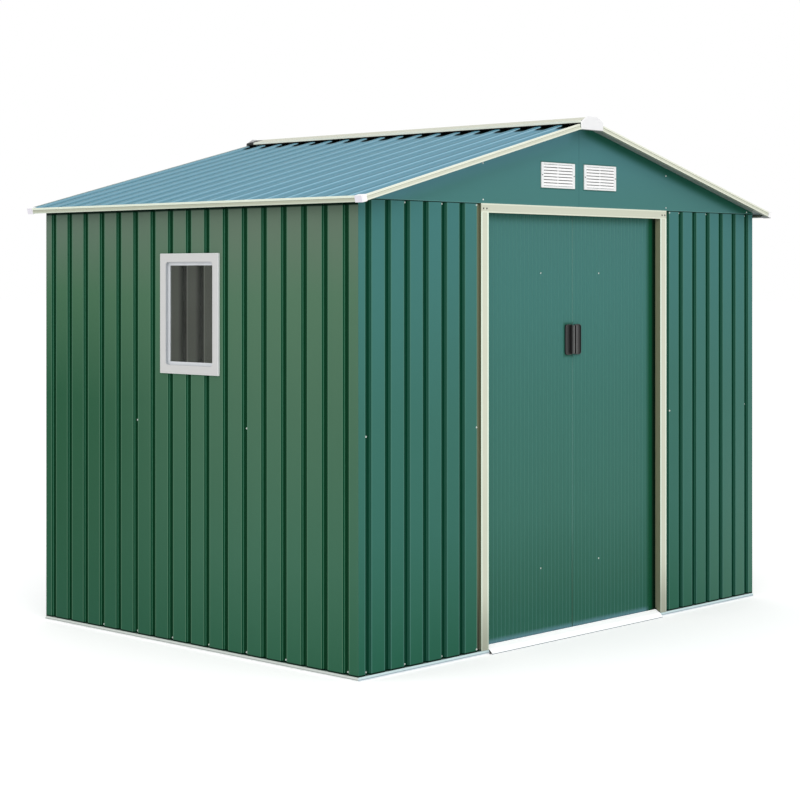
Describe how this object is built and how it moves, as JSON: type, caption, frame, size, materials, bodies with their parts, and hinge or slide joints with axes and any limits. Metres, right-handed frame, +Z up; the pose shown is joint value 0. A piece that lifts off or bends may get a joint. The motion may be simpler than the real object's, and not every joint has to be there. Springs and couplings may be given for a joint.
{
  "type": "garden shed",
  "caption": "Green ribbed sheet-metal garden shed with a low gable roof, sliding doors on a track, a side window, louvred gable vents, cream trims and a door ramp.",
  "frame": {"origin": "centre of the footprint at ground level", "axes": "+Z up, door front towards -Y, window wall towards -X"},
  "size_m": [2.5154, 1.842, 1.9607],
  "materials": {
    "wall_green": "satin",
    "roof_green": "satin",
    "trim_cream": "satin",
    "galvanised": "galvanised",
    "ramp_white": "satin",
    "white_plastic": "matte",
    "handle_black": "satin",
    "window_frame": "matte",
    "window_pane": "clear"
  },
  "bodies": {
    "shed": {"back_gable_left": "wall_green", "back_gable_right": "wall_green", "back_rake_trim_left": "trim_cream", "back_rake_trim_right": "trim_cream", "back_vents": "white_plastic", "back_wall": "wall_green", "base_rail_back": "galvanised", "base_rail_front": "galvanised", "base_rail_left": "galvanised", "base_rail_right": "galvanised", "door_header": "trim_cream", "door_ramp": "ramp_white", "door_track_lower": "galvanised", "door_track_upper": "galvanised", "eave_corner_caps": "white_plastic", "eave_trim_left": "trim_cream", "eave_trim_right": "trim_cream", "front_gable_left": "wall_green", "front_gable_right": "wall_green", "front_rake_trim_left": "trim_cream", "front_rake_trim_right": "trim_cream", "front_vents": "white_plastic", "front_wall_left": "wall_green", "front_wall_right": "wall_green", "left_jamb": "trim_cream", "left_wall": "wall_green", "mid_rails": "galvanised", "ridge_cap": "trim_cream", "ridge_end_caps": "white_plastic", "right_jamb": "trim_cream", "right_wall": "wall_green", "roof_beams": "galvanised", "roof_left": "roof_green", "roof_right": "roof_green", "top_rail_back": "galvanised", "top_rail_front": "galvanised", "top_rail_left": "galvanised", "top_rail_right": "galvanised", "window_frame": "window_frame", "window_pane": "window_pane"},
    "left_leaf": {"left_door": "wall_green", "left_door_fittings": "galvanised", "left_door_handle": "handle_black"},
    "right_leaf": {"right_door": "wall_green", "right_door_fittings": "galvanised", "right_door_handle": "handle_black"}
  },
  "joints": [
    {"name": "left_door_slide", "type": "slide", "parent": "shed", "child": "left_leaf", "axis": [-1, 0, 0], "range_m": [0, 0.465]},
    {"name": "right_door_slide", "type": "slide", "parent": "shed", "child": "right_leaf", "axis": [1, 0, 0], "range_m": [0, 0.465]}
  ]
}
